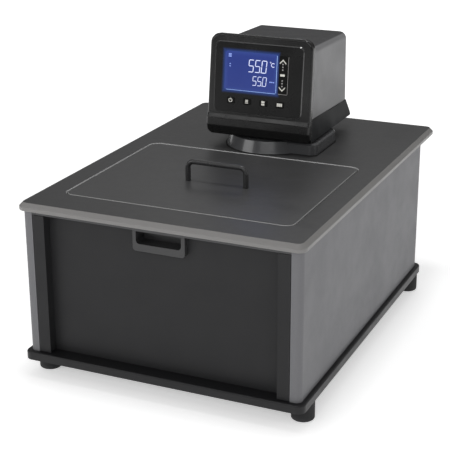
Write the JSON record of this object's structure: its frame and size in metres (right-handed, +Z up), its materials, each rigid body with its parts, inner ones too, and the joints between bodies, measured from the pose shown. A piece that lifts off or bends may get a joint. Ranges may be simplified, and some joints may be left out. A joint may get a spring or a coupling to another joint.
{
  "type": "refrigerated circulating water bath",
  "caption": "Low, wide lab water bath with a lift-off lid, steel tank, refrigeration behind a pull-off front panel, and a swivelling controller head with display and keys.",
  "frame": {"origin": "on the floor, under the middle of the deck", "axes": "+Z up, front panel towards -Y, +X to the right seen from the front"},
  "size_m": [0.42, 0.596, 0.4348],
  "materials": {
    "deck_moulding": "fine satin texture, charcoal",
    "lid_skin": "fine satin texture, charcoal",
    "lid_core": "smooth grey",
    "side_paint": "powder coat, mid grey",
    "front_paint": "powder coat, black",
    "black_plastic": "satin black",
    "foot_rubber": "matt dark grey",
    "seal": "soft black",
    "tank_steel": "brushed",
    "foam": "closed-cell foam",
    "wet_steel": "polished",
    "handle_paint": "satin black",
    "motor_paint": "satin",
    "compressor_paint": "gloss black",
    "fins": "mill finish",
    "copper": "drawn copper tube",
    "valve_brass": "turned",
    "filter_mesh": "open mesh",
    "guard_wire": "bright wire",
    "white_plastic": "white",
    "screw": "zinc plated",
    "head_grey": "fine satin texture, mid grey",
    "head_dark": "satin, near black",
    "bezel_black": "semi-gloss black",
    "film_black": "gloss black film",
    "display_blue": "backlit blue",
    "board_green": "circuit board",
    "key_black": "gloss black",
    "lever_red": "satin"
  },
  "bodies": {
    "cabinet": {"base_tray": "black_plastic", "rubber_feet": "foot_rubber", "front_rail": "side_paint", "side_panel_left": "side_paint", "side_panel_right": "side_paint", "rear_panel": "side_paint", "deck": "deck_moulding", "cabinet_screws": "screw", "tank": "tank_steel", "tank_insulation": "foam", "mounting_plate": "wet_steel", "pump_housing": "wet_steel", "pump_column": "wet_steel", "pump_motor": "motor_paint", "supply_line": "wet_steel", "return_line": "wet_steel", "evaporator_coil": "wet_steel", "heater_coil": "wet_steel", "temperature_probe": "wet_steel", "float_stem": "wet_steel", "drain_pipe": "wet_steel", "drain_valve": "valve_brass", "compressor": "compressor_paint", "compressor_mounts": "seal", "condenser": "fins", "air_filter": "filter_mesh", "fan_frame": "black_plastic", "fan_guard": "guard_wire", "filter_dryer": "copper", "discharge_line": "copper", "liquid_line": "copper", "suction_line": "copper", "power_inlet": "black_plastic", "power_board": "board_green", "pedestal": "head_dark", "pedestal_gasket": "seal", "swivel_ring": "wet_steel"},
    "lid": {"lid_plate": "lid_skin", "lid_liner": "lid_core", "lid_gasket": "seal", "lid_handle": "handle_paint"},
    "front_door": {"front_panel": "front_paint", "pull_cup": "black_plastic"},
    "head": {"head_cover": "head_grey", "head_chassis": "head_dark", "head_bezel": "bezel_black", "display_overlay": "film_black", "display_module": "display_blue", "slider_strip": "film_black", "control_board": "board_green", "head_screws": "screw"},
    "key_power_body": {"key_power": "key_black"},
    "key_menu_body": {"key_menu": "key_black"},
    "key_enter_body": {"key_enter": "key_black"},
    "key_pump_body": {"key_pump": "key_black"},
    "pump_rotor_body": {"pump_rotor": "wet_steel"},
    "fan_rotor_body": {"fan_rotor": "black_plastic"},
    "drain_lever_body": {"drain_lever": "lever_red"},
    "power_rocker_body": {"power_rocker": "black_plastic"},
    "level_float_body": {"level_float": "white_plastic"}
  },
  "joints": [
    {"name": "head_swivel", "type": "hinge", "parent": "cabinet", "child": "head", "pos_m": [0, 0.108, 0.2845], "axis": [0, 0, 1], "range_deg": [-90, 90]},
    {"name": "lid_lift", "type": "slide", "parent": "cabinet", "child": "lid", "axis": [0, 0, 1], "range_m": [0, 0.22]},
    {"name": "panel_pull", "type": "slide", "parent": "cabinet", "child": "front_door", "axis": [0, -1, 0], "range_m": [0, 0.12]},
    {"name": "pump_spin", "type": "hinge", "parent": "cabinet", "child": "pump_rotor_body", "pos_m": [0, 0.108, 0.2], "axis": [0, 0, 1], "continuous": true},
    {"name": "fan_spin", "type": "hinge", "parent": "cabinet", "child": "fan_rotor_body", "pos_m": [0.11, 0.22, 0.145], "axis": [0, 1, 0], "continuous": true},
    {"name": "drain_turn", "type": "hinge", "parent": "cabinet", "child": "drain_lever_body", "pos_m": [0.11, -0.239, 0.086], "axis": [0, 0, 1], "range_deg": [0, 90]},
    {"name": "power_rock", "type": "hinge", "parent": "cabinet", "child": "power_rocker_body", "pos_m": [-0.115, 0.233, 0.208], "axis": [1, 0, 0], "range_deg": [0, 16]},
    {"name": "float_rise", "type": "slide", "parent": "cabinet", "child": "level_float_body", "axis": [0, 0, 1], "range_m": [0, 0.02]},
    {"name": "key_power_press", "type": "slide", "parent": "head", "child": "key_power_body", "axis": [0, 0.9945, -0.1045], "range_m": [0, 0.0008], "stiffness_N_per_m": 2500},
    {"name": "key_menu_press", "type": "slide", "parent": "head", "child": "key_menu_body", "axis": [0, 0.9945, -0.1045], "range_m": [0, 0.0008], "stiffness_N_per_m": 2500},
    {"name": "key_enter_press", "type": "slide", "parent": "head", "child": "key_enter_body", "axis": [0, 0.9945, -0.1045], "range_m": [0, 0.0008], "stiffness_N_per_m": 2500},
    {"name": "key_pump_press", "type": "slide", "parent": "head", "child": "key_pump_body", "axis": [0, 0.9945, -0.1045], "range_m": [0, 0.0008], "stiffness_N_per_m": 2500}
  ]
}
